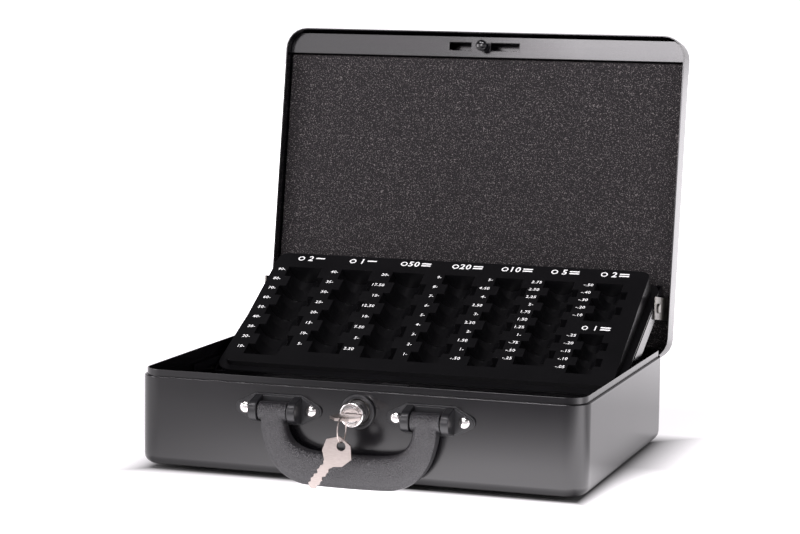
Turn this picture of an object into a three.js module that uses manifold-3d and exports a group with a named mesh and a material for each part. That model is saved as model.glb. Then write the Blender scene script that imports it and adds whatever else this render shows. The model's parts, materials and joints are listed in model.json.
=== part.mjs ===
// Steel cash box with a lifting coin tray, shown open.
// Millimetres. X to the right, Y to the back, Z up. The origin is the middle of the case's underside.
import * as THREE from 'three';
import { mergeVertices } from 'three/addons/utils/BufferGeometryUtils.js';
import Module from 'manifold-3d';

const wasm = await Module();
wasm.setup();

// ---- Driving dimensions ----
const WIDTH = 360;
const DEPTH = 275;
const BASE_HEIGHT = 70.5; // underside of the shell to its shoulder
const LID_HEIGHT = 28.4; // lid rim to lid top
const SHEET = 1.0; // steel of base and lid
const CORNER_RADIUS = 18.5; // upright corners
const BASE_EDGE_RADIUS = 7.7; // bottom edge of the base
const LID_EDGE_RADIUS = 6.0; // top edge of the lid
const LID_GAP = 0.3; // lid rim above the shoulder when shut
const SEAT = 0.3; // gap left between pieces that rest on each other
const RUNNING = 0.4; // radial play of pins and shafts

const FOOT_HEIGHT = 4.0;
const FOOT_RADIUS = 9;
const FOOT_INSET_X = 28; // side of the case to the middle of a foot
const FOOT_INSET_Y = 46; // front or back of the case to the middle of a foot

const COLLAR_INSET = 2.1; // outside of the case to outside of the collar
const COLLAR_RISE = 5.1; // collar above the shoulder
const COLLAR_HEIGHT = 19.6;
const COLLAR_SHEET = 1.0;
const LIP = COLLAR_INSET - SHEET - SEAT; // shoulder turned in at the top of the base

const LID_OPEN = 98.6; // degrees
const HINGE_Y = DEPTH / 2 + SEAT; // hinge axis, just behind the back wall
const HINGE_Z = BASE_HEIGHT - 6.2;
const HINGE_SPREAD = 110; // middle of the case to the middle of each hinge
const HINGE_WIDTH = 45;
const KNUCKLES = 5;
const KNUCKLE_RADIUS = 2.1;
const HINGE_PIN_RADIUS = 1.0;
const LEAF = 1.0;
const LEAF_DROP = 16;

const RAIL_DEPTH = 9; // lid rim to the face of the lock rail
const RAIL_WIDTH = 18;
const RAIL_SHEET = 1.0;
const RAIL_SLOTS = [[-31, -11], [6.4, 32.5]]; // from and to, along X
const SLOT_WIDTH = 7;
const STRIKER_X = 1;
const STRIKER_RADIUS = 5;
const STRIKER_NECK = 2.1;
const STRIKER_HEAD = 3.4;
const STRIKER_REACH = 3.8; // the head hangs this far below the lid's rim
const FOAM_DEPTH = 12; // lid rim to the face of the foam
const FOAM_MARGIN = 1.0;

const LOCK_X = 3.2;
const LOCK_Z = BASE_HEIGHT - 16.1;
const LOCK_RADIUS = 9.5;
const LOCK_STANDOUT = 17; // face of the cylinder in front of the case, unlocked
const PLUG_RADIUS = 6.2;
const ESCUTCHEON_RADIUS = LOCK_RADIUS + RUNNING + SEAT + 3.3;
const ESCUTCHEON = 2.5;
const HOUSING_RADIUS = LOCK_RADIUS + RUNNING + 1.3;
const HOUSING_LENGTH = 24;
const NUT_RADIUS = HOUSING_RADIUS + 4.8;
const BOLT_SHEET = 2;
const BOX_SHEET = 1.2;

const HANDLE_SPREAD = 61; // middle of the case to the middle of each bracket
const HANDLE_Z = BASE_HEIGHT - 18.3;
const HANDLE_STANDOUT = 10.6; // pivot axis in front of the case
const BARREL_RADIUS = 7.3;
const BARREL_LENGTH = 23.4;
const HANDLE_PIN_RADIUS = 2.4;
const GRIP_DROP = HANDLE_Z + FOOT_HEIGHT - 0.8; // pivot axis to the outer edge of the grip
const GRIP_WIDTH = 26; // across the grip, at its middle
const NECK_WIDTH = 19;
const GRIP_THICKNESS = 15;
const PLATE_LENGTH = 70;
const PLATE_HEIGHT = 23;
const PLATE = 2.4;
const PLATE_TIP_RADIUS = 5.2;
const EAR = 6.6;
const RIVET_SPREAD = 26.8;
const RIVET_RADIUS = 4.6;
const RIVET_SHANK = 2.2;

const COIN_DIAMETERS = {
  two: 25.75, one: 23.25, fifty: 24.25, twenty: 22.25, ten: 19.75, five: 21.25, pair: 18.75, cent: 16.25,
};
const COIN_THICKNESS = {
  two: 2.2, one: 2.33, fifty: 2.38, twenty: 2.14, ten: 1.93, five: 1.67, pair: 1.67, cent: 1.67,
};
const STEPS = { two: 9, one: 8, fifty: 8, twenty: 9, ten: 10, five: 11, pair: 5, cent: 5 };
const COINS_PER_STEP = 5;
const COIN_LEAN = 36.5; // degrees that a stack of coins leans in its trough
const COIN_PLAY = 4.4; // trough width over coin diameter
const STEP_SHIFT = 5.9; // each step sits this far to the side of the next
const LOW_COLUMN_GAP = 17.1; // between the two short columns at the right
const TRAY_TOP_MARGIN = 19.6; // back edge of the tray to the first step
const TRAY_FRONT_MARGIN = 10.8; // last step of the longest column to the front edge
const TRAY_LEFT_MARGIN = 14.3;
const TRAY_RIGHT_MARGIN = 13.35;
const TRAY_CORNER = 8;
const TRAY_SHEET = 2.0;
const TROUGH_SHEET = 1.6;
const TRAY_PITCH = 4.4; // degrees that the tray's face rises to the back when the carrier lies flat
const FLANGE = 6.6;
const FLANGE_FRONT_DROP = 4.5;
const FLANGE_SHEET = 1.6;

const CARRIER_SHEET = 1.2;
const CARRIER_DEPTH = 12;
const TRAY_LIFT = 25.5; // degrees that the carrier turns as the lid opens
const TRAY_PIN_FROM_BACK = 21.7; // back edge of the tray to its pivot pin
const TRAY_PIN_DROP = 21.4; // face of the tray to its pivot pin
const TRAY_PIN_RADIUS = 2.6;
const PIN_HEAD_RADIUS = 4.2;
const PIN_Y_SHUT = DEPTH / 2 - 43.4; // the pivot pin with the lid shut
const PIN_Z_SHUT = HINGE_Z - 15.0;
const SLIDE_PIN_FROM_FRONT = 12;
const SLIDE_PIN_DROP = 20;
const SLIDE_PIN_RADIUS = 2.4;
const STRAP = 1.4; // lifting bracket and guide plate steel
const STRAP_WIDTH = 19;

const KEY_SHEET = 2.2;
const BOW_LENGTH = 21;
const BOW_WIDTH = 24.5;
const BLADE_LENGTH = 25;
const BLADE_WIDTH = 8.2;
const KEY_HOLE_RADIUS = 3.6;
const KEY_EDGE = 1.4; // metal left between the hole and the end of the bow
const RING_RADIUS = 9.6; // middle of the wire
const RING_WIRE = 0.6;
const SPARE_TILT = 36; // degrees that the spare key leans from the upright

// ---- Derived places ----
const deg = THREE.MathUtils.degToRad;
const FRONT = -DEPTH / 2;
const COLLAR_TOP = BASE_HEIGHT + COLLAR_RISE;
const COLLAR_INNER = COLLAR_INSET + COLLAR_SHEET;
const LID_RIM = BASE_HEIGHT + LID_GAP;
const LID_TOP = LID_RIM + LID_HEIGHT;
const RAIL_Z = LID_RIM + RAIL_DEPTH;
const RAIL_MIDDLE = FRONT + 12;
const FOAM_Z = LID_RIM + FOAM_DEPTH;

const HALF_INSIDE = WIDTH / 2 - COLLAR_INNER; // clear half width inside the collar
const HEAD_OUTER = HALF_INSIDE - 0.5; // outer ends of the side pins
const STRAP_OUTER = HEAD_OUTER - 1.6;
const STRAP_INNER = STRAP_OUTER - STRAP;
const CARRIER_OUTER = STRAP_INNER - SEAT;
const CARRIER_INNER = CARRIER_OUTER - CARRIER_SHEET;

const HANDLE_Y = FRONT - HANDLE_STANDOUT;
const EAR_OUTER = BARREL_LENGTH / 2 + 0.7 + EAR;

const BOLT_FRONT = FRONT + COLLAR_INNER + SEAT;
const BOLT_BACK = RAIL_MIDDLE + 8;
const BOLT_X = STRIKER_X + 6.4;
const BOLT_Z = LID_RIM - STRIKER_REACH + STRIKER_HEAD + 0.6;
const BOX_X = BOLT_X + 8;
const BOX_Z = LOCK_Z + HOUSING_RADIUS + SEAT;

const HOLE_TO_TIP = BOW_LENGTH + BLADE_LENGTH - KEY_HOLE_RADIUS - KEY_EDGE;
const KEY_HOLE_Y = FRONT - LOCK_STANDOUT - SEAT - BOW_LENGTH + KEY_HOLE_RADIUS + KEY_EDGE;
const RING_Y = KEY_HOLE_Y - KEY_HOLE_RADIUS - KEY_EDGE / 2; // middle of the metal at the end of the bow
const RING_Z = LOCK_Z + KEY_SHEET / 2 + SEAT - RING_RADIUS + RING_WIRE;

const troughWidth = (coin) => COIN_DIAMETERS[coin] + COIN_PLAY;
const columnWidth = (coin) => troughWidth(coin) + STEP_SHIFT;
const stepPitch = (coin) => COINS_PER_STEP * COIN_THICKNESS[coin] / Math.cos(deg(COIN_LEAN));
const TRAY_WIDTH = 2 * (CARRIER_OUTER - 0.5 - FLANGE);

// The columns stand side by side with equal gaps, all but the last, which stands below the one before it.
function columnPlaces() {
  const upper = Object.keys(STEPS).slice(0, -1);
  const used = upper.reduce((sum, coin) => sum + columnWidth(coin), 0);
  const gap = (TRAY_WIDTH - TRAY_LEFT_MARGIN - TRAY_RIGHT_MARGIN - used) / (upper.length - 1);
  let left = TRAY_LEFT_MARGIN - TRAY_WIDTH / 2;
  const places = [];
  for (const coin of upper) {
    places.push({ coin, middle: left + columnWidth(coin) / 2, from: 0 });
    left += columnWidth(coin) + gap;
  }
  const above = places[places.length - 1];
  places.push({ coin: 'cent', middle: above.middle, from: STEPS.pair * stepPitch('pair') + LOW_COLUMN_GAP });
  return places;
}

const columns = columnPlaces();
const columnEnd = ({ coin, from }) => from + STEPS[coin] * stepPitch(coin);
const TRAY_LENGTH = TRAY_TOP_MARGIN + Math.max(...columns.map(columnEnd)) + TRAY_FRONT_MARGIN;
const TRAY_BACK = TRAY_PIN_FROM_BACK; // measured from the pivot pin along the tray
const TRAY_FRONT = TRAY_BACK - TRAY_LENGTH;
const TRAY_FACE = TRAY_PIN_DROP;
const SLIDE_PIN_Y = TRAY_FRONT + SLIDE_PIN_FROM_FRONT;
const SLIDE_PIN_Z = TRAY_FACE - SLIDE_PIN_DROP;

// ---- Materials ----
const steelPaint = (color, roughness) => new THREE.MeshStandardMaterial({ color, roughness, metalness: 0.1 });
const material = {
  blackPaint: steelPaint(0x1d1b20, 0.32),
  trayPlastic: new THREE.MeshStandardMaterial({ color: 0x29272c, roughness: 0.6, metalness: 0 }),
  gripPlastic: new THREE.MeshStandardMaterial({ color: 0x222126, roughness: 0.55, metalness: 0 }),
  bracketPlastic: new THREE.MeshStandardMaterial({ color: 0x151518, roughness: 0.4, metalness: 0 }),
  foam: new THREE.MeshStandardMaterial({ color: 0x322f31, roughness: 0.95, metalness: 0 }),
  chrome: new THREE.MeshStandardMaterial({ color: 0xd8d4d2, roughness: 0.15, metalness: 1 }),
  zinc: new THREE.MeshStandardMaterial({ color: 0xa8a49c, roughness: 0.35, metalness: 1 }),
  nickel: new THREE.MeshStandardMaterial({ color: 0xcfc3bd, roughness: 0.3, metalness: 1 }),
  rubber: new THREE.MeshStandardMaterial({ color: 0x1a1a1a, roughness: 0.9, metalness: 0 }),
};

// ---- Solid helpers ----
function solid(geometry) {
  const bare = geometry.clone();
  for (const name of Object.keys(bare.attributes)) {
    if (name !== 'position') bare.deleteAttribute(name);
  }
  const merged = mergeVertices(bare, 1e-4);
  return new wasm.Manifold(new wasm.Mesh({
    numProp: 3,
    vertProperties: new Float32Array(merged.attributes.position.array),
    triVerts: new Uint32Array(merged.index.array),
  }));
}

function geometryOf(manifold) {
  const mesh = manifold.getMesh();
  const geometry = new THREE.BufferGeometry();
  geometry.setAttribute('position', new THREE.BufferAttribute(new Float32Array(mesh.vertProperties), 3));
  geometry.setIndex(new THREE.BufferAttribute(new Uint32Array(mesh.triVerts), 1));
  const faceted = geometry.toNonIndexed();
  faceted.computeVertexNormals();
  return faceted;
}

const join = (...geometries) => geometryOf(geometries.map(solid).reduce((sum, part) => sum.add(part)));
const common = (geometry, tool) => geometryOf(solid(geometry).intersect(solid(tool)));

function cut(geometry, ...tools) {
  return geometryOf(tools.map(solid).reduce((rest, tool) => rest.subtract(tool), solid(geometry)));
}

function slab(x0, x1, y0, y1, z0, z1) {
  const box = new THREE.BoxGeometry(x1 - x0, y1 - y0, z1 - z0);
  return box.translate((x0 + x1) / 2, (y0 + y1) / 2, (z0 + z1) / 2);
}

// A round bar from one point along +X, +Y or +Z.
function bar(radius, length, axis, x, y, z, segments = 20) {
  const geometry = new THREE.CylinderGeometry(radius, radius, length, segments).translate(0, length / 2, 0);
  if (axis === 'x') geometry.rotateZ(-Math.PI / 2);
  if (axis === 'z') geometry.rotateX(Math.PI / 2);
  return geometry.translate(x, y, z);
}

// A turned piece: profile points are [radius, height along +Z].
function turned(profile, segments = 16) {
  const points = profile.map(([radius, height]) => new THREE.Vector2(radius, height));
  return new THREE.LatheGeometry(points, segments).rotateX(Math.PI / 2);
}

// A flat piece: the outline lies in X and Y, and the thickness goes up from z = 0.
function flat(outline, thickness, holes = []) {
  const shape = new THREE.Shape(outline.map(([x, y]) => new THREE.Vector2(x, y)));
  for (const [x, y, radius] of holes) {
    const hole = new THREE.Path();
    hole.absarc(x, y, radius, 0, Math.PI * 2);
    shape.holes.push(hole);
  }
  return new THREE.ExtrudeGeometry(shape, { depth: thickness, bevelEnabled: false, curveSegments: 9 });
}

// An outline drawn in Y and Z, given a thickness along +X from x.
const sidePlate = (outline, thickness, x, holes = []) => (
  flat(outline, thickness, holes).rotateX(Math.PI / 2).rotateZ(Math.PI / 2).translate(x, 0, 0)
);

function roundedOutline(width, depth, radius, segments = 6) {
  const points = [];
  const corners = [[1, 1, 0], [-1, 1, 90], [-1, -1, 180], [1, -1, 270]];
  for (const [sx, sy, start] of corners) {
    for (let i = 0; i <= segments; i += 1) {
      const angle = deg(start + 90 * i / segments);
      const x = sx * (width / 2 - radius) + radius * Math.cos(angle);
      const y = sy * (depth / 2 - radius) + radius * Math.sin(angle);
      points.push([x, y]);
    }
  }
  return points;
}

// A body with the case's rounded outline, drawn in by `inset` at each height.
function stack(levels, width = WIDTH, depth = DEPTH, radius = CORNER_RADIUS) {
  const rings = levels.map(({ z, inset }) => (
    roundedOutline(width - 2 * inset, depth - 2 * inset, radius - inset).map(([x, y]) => [x, y, z])
  ));
  const count = rings[0].length;
  const positions = rings.flat(2);
  const index = [];
  for (let level = 0; level + 1 < rings.length; level += 1) {
    for (let i = 0; i < count; i += 1) {
      const a = level * count + i;
      const b = level * count + (i + 1) % count;
      index.push(a, b, b + count, a, b + count, a + count);
    }
  }
  const last = (rings.length - 1) * count;
  for (let i = 1; i + 1 < count; i += 1) {
    index.push(0, i + 1, i, last, last + i, last + i + 1);
  }
  const geometry = new THREE.BufferGeometry();
  geometry.setAttribute('position', new THREE.Float32BufferAttribute(positions, 3));
  geometry.setIndex(index);
  return geometry;
}

// Levels that follow a quarter round of the given radius, from its flat side to its upright side.
function quarterRound(radius, base, direction, extra = 0, steps = 4) {
  return Array.from({ length: steps + 1 }, (_, i) => {
    const angle = deg(90 * i / steps);
    const rise = radius - radius * Math.cos(angle);
    return { z: base + direction * rise, inset: extra + radius - radius * Math.sin(angle) };
  });
}

// ---- Groups ----
const cashBox = new THREE.Group();
const base = new THREE.Group();
cashBox.add(base);

// The lid is drawn shut and turned back about the hinge axis.
const lidSwing = new THREE.Group();
lidSwing.position.set(0, HINGE_Y, HINGE_Z);
lidSwing.rotation.x = -deg(LID_OPEN);
base.add(lidSwing);
const lid = new THREE.Group();
lid.position.set(0, -HINGE_Y, -HINGE_Z);
lidSwing.add(lid);

// The lid carries the tray's pivot pin round the hinge axis.
function tiedToLid(y, z, open) {
  const angle = -deg(open);
  const dy = y - HINGE_Y;
  const dz = z - HINGE_Z;
  const cos = Math.cos(angle);
  const sin = Math.sin(angle);
  return [HINGE_Y + dy * cos - dz * sin, HINGE_Z + dy * sin + dz * cos];
}

// The tray is drawn with its pivot pin at the origin, +Y to the back along its face and +Z out of it.
const trayAngle = (open) => TRAY_PITCH + TRAY_LIFT * open / LID_OPEN;
const [pinY, pinZ] = tiedToLid(PIN_Y_SHUT, PIN_Z_SHUT, LID_OPEN);
const tray = new THREE.Group();
tray.position.set(0, pinY, pinZ);
tray.rotation.x = deg(trayAngle(LID_OPEN));
base.add(tray);

function place(group, name, geometry, look) {
  const mesh = new THREE.Mesh(geometry, look);
  mesh.name = name;
  group.add(mesh);
}

const sides = [['left', -1], ['right', 1]];
const mirrored = (geometry, side) => (side > 0 ? geometry : geometry.clone().rotateZ(Math.PI));

// ---- Base ----
function baseShell() {
  const outer = stack([
    ...quarterRound(BASE_EDGE_RADIUS, 0, 1),
    { z: BASE_HEIGHT, inset: 0 },
  ]);
  const inner = stack([
    ...quarterRound(BASE_EDGE_RADIUS - SHEET, SHEET, 1, SHEET),
    { z: BASE_HEIGHT - SHEET, inset: SHEET },
    { z: BASE_HEIGHT - SHEET, inset: SHEET + LIP },
    { z: BASE_HEIGHT + 1, inset: SHEET + LIP },
  ]);
  const tools = [bar(HOUSING_RADIUS + RUNNING, 20, 'y', LOCK_X, FRONT - 10, LOCK_Z)];
  for (const x of rivetPlaces()) tools.push(bar(RIVET_SHANK + RUNNING, 20, 'y', x, FRONT - 10, HANDLE_Z, 12));
  for (const [, side] of sides) {
    const x = side * HINGE_SPREAD;
    const half = HINGE_WIDTH / 2 + 1;
    const low = HINGE_Z - KNUCKLE_RADIUS - 1;
    tools.push(slab(x - half, x + half, DEPTH / 2 - 5, DEPTH / 2 + 5, low, BASE_HEIGHT + 1));
  }
  return cut(outer, inner, ...tools);
}

const rivetPlaces = () => [-1, 1].flatMap((side) => (
  [-1, 1].map((end) => side * HANDLE_SPREAD + end * RIVET_SPREAD)
));

function collarRing() {
  const foot = SHEET + SEAT;
  const low = COLLAR_TOP - COLLAR_HEIGHT;
  const bend = HINGE_Z - KNUCKLE_RADIUS - SEAT - 2.3;
  const outer = stack([
    { z: low, inset: foot },
    { z: bend, inset: foot },
    { z: bend + 2, inset: COLLAR_INSET },
    { z: COLLAR_TOP, inset: COLLAR_INSET },
  ]);
  const inner = stack([
    { z: low - 1, inset: foot + COLLAR_SHEET },
    { z: bend, inset: foot + COLLAR_SHEET },
    { z: bend + 2, inset: COLLAR_INNER },
    { z: COLLAR_TOP + 1, inset: COLLAR_INNER },
  ]);
  const lockRoom = bar(NUT_RADIUS - 0.3, 20, 'y', LOCK_X, FRONT - 5, LOCK_Z);
  return cut(outer, inner, lockRoom);
}

function foot() {
  const r = FOOT_RADIUS;
  const top = FOOT_HEIGHT - SEAT;
  const recess = FOOT_HEIGHT - 1.4;
  return turned([[0, recess], [r - 5, recess], [r - 4.6, 0], [r - 1, 0], [r, 1], [r, top], [0, top]]);
}

function makeBase() {
  place(base, 'base_shell', baseShell(), material.blackPaint);
  place(base, 'rim_collar', collarRing(), material.blackPaint);
  const x = WIDTH / 2 - FOOT_INSET_X;
  const y = DEPTH / 2 - FOOT_INSET_Y;
  for (const [end, sy] of [['front', -1], ['rear', 1]]) {
    for (const [side, sx] of sides) {
      const geometry = foot().translate(sx * x, sy * y, -FOOT_HEIGHT);
      place(base, `foot_${end}_${side}`, geometry, material.rubber);
    }
  }
}

// ---- Hinges ----
function knuckles(first, x) {
  const width = HINGE_WIDTH / KNUCKLES;
  const parts = [];
  for (let i = first; i < KNUCKLES; i += 2) {
    const start = x - HINGE_WIDTH / 2 + i * width + 0.15;
    parts.push([start, width - 0.3]);
  }
  return parts;
}

// A leaf lies against the outside of its wall and is rolled round the pin.
function hingeLeaf(first, x, upward) {
  const wall = DEPTH / 2 + SEAT;
  const far = HINGE_Z + upward * LEAF_DROP;
  const near = HINGE_Z + upward * (KNUCKLE_RADIUS + 0.3);
  const half = HINGE_WIDTH / 2;
  let leaf = slab(x - half, x + half, wall, wall + LEAF, Math.min(far, near), Math.max(far, near));
  for (const [start, width] of knuckles(first, x)) {
    const [low, high] = [Math.min(HINGE_Z, near), Math.max(HINGE_Z, near)];
    const root = slab(start, start + width, wall, wall + LEAF, low, high);
    leaf = join(leaf, root, bar(KNUCKLE_RADIUS, width, 'x', start, HINGE_Y, HINGE_Z, 16));
  }
  return cut(leaf, bar(HINGE_PIN_RADIUS + 0.2, HINGE_WIDTH + 4, 'x', x - half - 2, HINGE_Y, HINGE_Z, 16));
}

function makeHinges() {
  for (const [name, side] of sides) {
    const x = side * HINGE_SPREAD;
    place(base, `hinge_leaf_base_${name}`, hingeLeaf(0, x, -1), material.blackPaint);
    place(lid, `hinge_leaf_lid_${name}`, hingeLeaf(1, x, 1), material.blackPaint);
    const length = HINGE_WIDTH - 0.6;
    const pin = bar(HINGE_PIN_RADIUS, length, 'x', x - length / 2, HINGE_Y, HINGE_Z, 12);
    place(base, `hinge_pin_${name}`, pin, material.zinc);
  }
}

// ---- Lid ----
function lidShell() {
  const turn = (levels) => levels.reverse();
  const outer = stack([{ z: LID_RIM, inset: 0 }, ...turn(quarterRound(LID_EDGE_RADIUS, LID_TOP, -1))]);
  const inner = stack([
    { z: LID_RIM - 1, inset: SHEET },
    ...turn(quarterRound(LID_EDGE_RADIUS - SHEET, LID_TOP - SHEET, -1, SHEET)),
  ]);
  return cut(outer, inner);
}

function lockRail() {
  const inset = SHEET + SEAT;
  const front = FRONT + inset + 2;
  const back = front + RAIL_WIDTH;
  const width = WIDTH - 2 * inset;
  const body = stack([
    { z: RAIL_Z, inset: inset },
    { z: LID_TOP - LID_EDGE_RADIUS, inset: inset },
  ]);
  const strip = common(body, slab(-width / 2, width / 2, front, back, RAIL_Z, LID_TOP - LID_EDGE_RADIUS));
  const room = slab(-WIDTH, WIDTH, front - 5, back - RAIL_SHEET, RAIL_Z + RAIL_SHEET, LID_TOP);
  const slots = RAIL_SLOTS.map(([x0, x1]) => slot(x0, x1));
  return cut(strip, room, ...slots);
}

function slot(x0, x1) {
  const half = SLOT_WIDTH / 2;
  return slab(x0, x1, RAIL_MIDDLE - half, RAIL_MIDDLE + half, RAIL_Z - 1, RAIL_Z + 3);
}

function striker() {
  const reach = RAIL_DEPTH + STRIKER_REACH;
  const dome = STRIKER_HEAD - 1.2;
  const profile = [[0, -SEAT], [4, -SEAT], [4, -1.2], [STRIKER_NECK, -1.2]];
  profile.push([STRIKER_NECK, -reach + STRIKER_HEAD]);
  for (let i = 0; i <= 4; i += 1) {
    const angle = deg(90 * i / 4);
    profile.push([STRIKER_RADIUS * Math.cos(angle), -reach + dome - dome * Math.sin(angle)]);
  }
  profile[profile.length - 1][0] = 0;
  return turned(profile.reverse()).translate(STRIKER_X, RAIL_MIDDLE, RAIL_Z);
}

function foamPad() {
  const inset = SHEET + FOAM_MARGIN;
  const front = FRONT + SHEET + SEAT + 2 + RAIL_WIDTH + FOAM_MARGIN;
  const outer = stack([
    { z: FOAM_Z, inset: inset },
    { z: LID_TOP - LID_EDGE_RADIUS, inset: inset },
    { z: LID_TOP - SHEET - SEAT, inset: inset + LID_EDGE_RADIUS / 2 },
  ]);
  return common(outer, slab(-WIDTH, WIDTH, front, DEPTH, FOAM_Z, LID_TOP));
}

// A strap riveted inside the lid's side wall hangs down past the collar to the tray's pivot pin.
function liftingStrap() {
  const wallSide = WIDTH / 2 - SHEET - SEAT;
  const bend = COLLAR_TOP + 1;
  const rise = wallSide - STRAP_OUTER;
  const bottom = PIN_Z_SHUT - STRAP_WIDTH / 2;
  const top = LID_TOP - LID_EDGE_RADIUS;
  const outline = [
    [STRAP_INNER, bottom], [STRAP_INNER, bend + 0.6], [wallSide - STRAP, bend + rise + 0.6], [wallSide - STRAP, top],
    [wallSide, top], [wallSide, bend + rise], [STRAP_OUTER, bend], [STRAP_OUTER, bottom],
  ];
  const body = flat(outline, STRAP_WIDTH).rotateX(Math.PI / 2).translate(0, PIN_Y_SHUT + STRAP_WIDTH / 2, 0);
  return cut(body, bar(TRAY_PIN_RADIUS + RUNNING, 20, 'x', STRAP_INNER - 10, PIN_Y_SHUT, PIN_Z_SHUT, 20));
}

function makeLid() {
  place(lid, 'lid_shell', lidShell(), material.blackPaint);
  place(lid, 'lock_rail', lockRail(), material.blackPaint);
  place(lid, 'striker_stud', striker(), material.blackPaint);
  place(lid, 'foam_pad', foamPadCut(), material.foam);
  for (const [name, side] of sides) {
    const strap = side > 0 ? liftingStrap() : mirrorX(liftingStrap());
    place(lid, `lifting_strap_${name}`, strap, material.zinc);
  }
}

// The pad is notched for the straps.
function foamPadCut() {
  const half = STRAP_WIDTH / 2 + FOAM_MARGIN;
  const notches = [-1, 1].map((side) => {
    const x = side * WIDTH / 2;
    return slab(x - 4.5, x + 4.5, PIN_Y_SHUT - half, PIN_Y_SHUT + half, FOAM_Z - 1, LID_TOP);
  });
  return cut(foamPad(), ...notches);
}

function mirrorX(geometry) {
  const copy = geometry.clone().scale(-1, 1, 1);
  const p = copy.attributes.position.array;
  for (let i = 0; i < p.length; i += 9) {
    for (let k = 0; k < 3; k += 1) {
      const keep = p[i + 3 + k];
      p[i + 3 + k] = p[i + 6 + k];
      p[i + 6 + k] = keep;
    }
  }
  return copy;
}

// ---- Coin tray ----
const flangeZ = (y) => TRAY_FACE - FLANGE_FRONT_DROP - (y - TRAY_FRONT) * Math.tan(deg(TRAY_PITCH));

// A half-round trough along Y, open at the top.
function trough(x, width, y0, y1, face) {
  const radius = width / 2;
  const sink = 2;
  const outline = [[-radius, 1], [-radius, -sink]];
  const segments = 8;
  for (let i = 1; i < segments; i += 1) {
    const angle = Math.PI + Math.PI * i / segments;
    outline.push([radius * Math.cos(angle), -sink + radius * Math.sin(angle)]);
  }
  outline.push([radius, -sink], [radius, 1]);
  return flat(outline, y1 - y0).rotateX(Math.PI / 2).translate(x, y1, face);
}

function coinColumn({ coin, middle, from }) {
  const width = troughWidth(coin);
  const pitch = stepPitch(coin);
  const steps = STEPS[coin];
  const top = TRAY_BACK - TRAY_TOP_MARGIN - from;
  const walls = TROUGH_SHEET;
  const end = top - steps * pitch;
  const shellWidth = columnWidth(coin) + 2 * walls;
  const outer = trough(middle, shellWidth, end - walls, top + walls, TRAY_FACE);
  const cuts = [];
  for (let i = 0; i < steps; i += 1) {
    const shift = (i % 2 === 0 ? -1 : 1) * STEP_SHIFT / 2;
    const overlap = i + 1 < steps ? 0.02 : 0;
    cuts.push(trough(middle + shift, width, top - (i + 1) * pitch - overlap, top - i * pitch, TRAY_FACE));
  }
  return { outer, cuts };
}

// An upright block with the tray's rounded outline, `grow` larger all round.
function trayBlock(grow, corner, top) {
  const outline = roundedOutline(TRAY_WIDTH + 2 * grow, TRAY_LENGTH + 2 * grow, corner, 5);
  return flat(outline, 60).translate(0, (TRAY_FRONT + TRAY_BACK) / 2, top - 60);
}

function coinTray() {
  const plate = trayBlock(0, TRAY_CORNER, TRAY_FACE);
  const hollow = trayBlock(-TRAY_SHEET, TRAY_CORNER - TRAY_SHEET, TRAY_FACE - TRAY_SHEET);
  const skirt = cut(plate, hollow, slabUnderFlange(FLANGE_SHEET, 60));
  const rimOuter = trayBlock(FLANGE, TRAY_CORNER + FLANGE, TRAY_FACE);
  const rimInner = trayBlock(-0.5, TRAY_CORNER, TRAY_FACE);
  const flange = common(cut(rimOuter, rimInner), slabUnderFlange(0, FLANGE_SHEET));
  let body = solid(skirt).add(solid(flange));
  const shapes = columns.map(coinColumn);
  const faceLimit = solid(slab(-WIDTH, WIDTH, TRAY_FRONT - 20, TRAY_BACK + 20, TRAY_FACE - 80, TRAY_FACE));
  for (const { outer } of shapes) body = body.add(solid(outer).intersect(faceLimit));
  for (const { cuts } of shapes) {
    for (const tool of cuts) body = body.subtract(solid(tool));
  }
  return geometryOf(body);
}

// A wedge whose top follows the flange line, `below` under it and `deep` thick.
function slabUnderFlange(below, deep) {
  const y0 = TRAY_FRONT - 20;
  const y1 = TRAY_BACK + 20;
  const top = (y) => flangeZ(y) - below;
  const outline = [[y0, top(y0) - deep], [y1, top(y1) - deep], [y1, top(y1)], [y0, top(y0)]];
  return sidePlate(outline, 2 * WIDTH, -WIDTH);
}

// ---- Tray carrier ----
// A steel frame under the tray's flange. Its sides reach down to the pivot pins and the slide pins.
function carrier() {
  const gap = FLANGE_SHEET + SEAT;
  const front = TRAY_FRONT - FLANGE;
  const back = TRAY_BACK + FLANGE;
  const top = (y) => flangeZ(y) - gap;
  const low = (y) => flangeZ(y) - gap - CARRIER_DEPTH;
  const slideLow = SLIDE_PIN_Z - SLIDE_PIN_RADIUS - 3;
  const pinLow = -TRAY_PIN_RADIUS - 4;
  const side = [
    [front, top(front)], [front, low(front)], [SLIDE_PIN_Y - 8, slideLow], [SLIDE_PIN_Y + 8, slideLow],
    [SLIDE_PIN_Y + 26, low(SLIDE_PIN_Y + 26)], [-22, low(-22)], [-8, pinLow], [8, pinLow],
    [back, Math.min(pinLow + 6, low(back))], [back, top(back)],
  ];
  const holes = [[0, 0, TRAY_PIN_RADIUS + SEAT], [SLIDE_PIN_Y, SLIDE_PIN_Z, SLIDE_PIN_RADIUS + SEAT]];
  const right = sidePlate(side, CARRIER_SHEET, CARRIER_INNER, holes);
  const left = sidePlate(side, CARRIER_SHEET, -CARRIER_OUTER, holes);
  const bars = [[front, front + CARRIER_SHEET], [back - CARRIER_SHEET, back]].map(([y0, y1]) => {
    const outline = [[y0, low(y0) + 0.4], [y1, low(y1) + 0.4], [y1, top(y1)], [y0, top(y0)]];
    return sidePlate(outline, 2 * CARRIER_INNER + 1, -CARRIER_INNER - 0.5);
  });
  return join(right, left, ...bars);
}

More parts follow.
